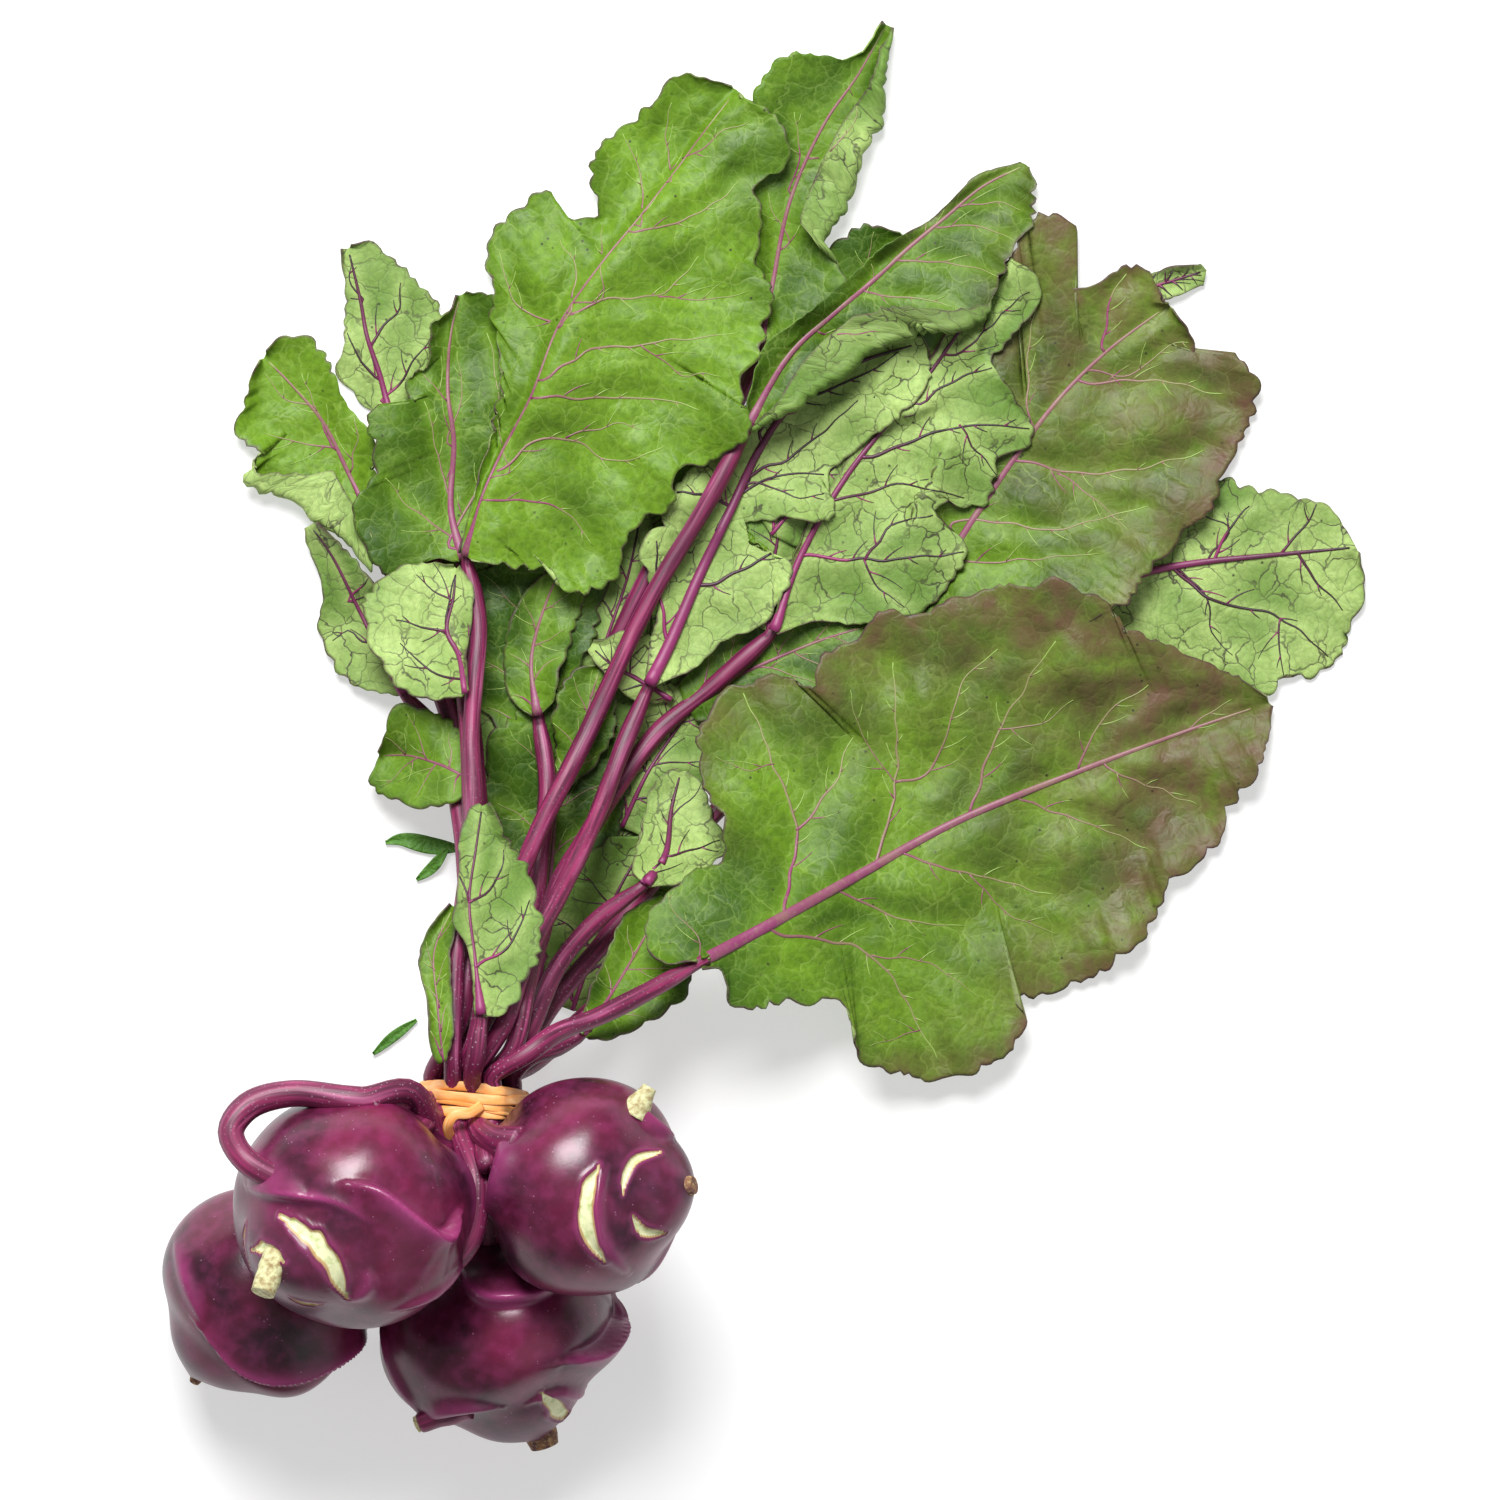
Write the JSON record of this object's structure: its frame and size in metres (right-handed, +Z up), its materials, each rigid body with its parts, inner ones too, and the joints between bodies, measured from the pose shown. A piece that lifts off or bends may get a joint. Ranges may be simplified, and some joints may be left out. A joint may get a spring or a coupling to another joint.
{
  "type": "kohlrabi bunch",
  "caption": "Bunch of purple kohlrabi lying flat, round waxy bulbs at one end and their long stalks held by a rubber band, with wide lobed leaves fanned out.",
  "frame": {"origin": "middle of the bunch's outline on the table, with the underside at z 0", "axes": "+Y from the bulbs towards the leaf tips, +X to the right seen from above, +Z up from the table"},
  "size_m": [0.3844, 0.4568, 0.1276],
  "materials": {
    "bulb_skin": "waxy purple skin with a dusty bloom, magenta ridges and pale leaf scars",
    "stalk_skin": "smooth magenta-purple leaf stalk with a light bloom",
    "leaf_upper": "upper side of a leaf, satin green with purple veins and a purple-brown tint near the edges",
    "leaf_under": "pale matt grey-green underside of a leaf with a raised dark purple network of veins",
    "rubber_band": "plain orange rubber, slightly shiny",
    "weed": "thin dark green blades of small stray leaves"
  },
  "bodies": {
    "root": {"blade_behind_top": "leaf_upper", "blade_bright_centre": "leaf_upper", "blade_far_left": "leaf_upper", "blade_far_right": "leaf_under", "blade_fold_right": "leaf_under", "blade_front_curl": "leaf_upper", "blade_front_pale": "leaf_under", "blade_inner_mid": "leaf_upper", "blade_lobe_left": "leaf_under", "blade_low_left": "leaf_under", "blade_low_right": "leaf_upper", "blade_mid_left": "leaf_upper", "blade_mid_right": "leaf_upper", "blade_pale_centre": "leaf_under", "blade_pale_mid": "leaf_under", "blade_small_left": "leaf_upper", "blade_small_mid": "leaf_upper", "blade_small_right": "leaf_under", "blade_top_left": "leaf_under", "blade_top_right": "leaf_upper", "blade_top_tip": "leaf_upper", "blade_under_right": "leaf_upper", "bulb_front_left": "bulb_skin", "bulb_front_middle": "bulb_skin", "bulb_top_left": "bulb_skin", "bulb_top_right": "bulb_skin", "rubber_band": "rubber_band", "stalk_bright_centre": "stalk_skin", "stalk_far_left": "stalk_skin", "stalk_far_right": "stalk_skin", "stalk_fold_right": "stalk_skin", "stalk_front_pale": "stalk_skin", "stalk_low_left": "stalk_skin", "stalk_low_right": "stalk_skin", "stalk_mid_left": "stalk_skin", "stalk_mid_right": "stalk_skin", "stalk_pale_centre": "stalk_skin", "stalk_small_mid": "stalk_skin", "stalk_small_right": "stalk_skin", "stalk_top_left": "stalk_skin", "stalk_top_right": "stalk_skin", "stalk_top_tip": "stalk_skin", "stalk_under_right": "stalk_skin", "weed_spoon": "weed", "weed_strip_lower": "weed", "weed_strip_upper": "weed"}
  },
  "joints": []
}
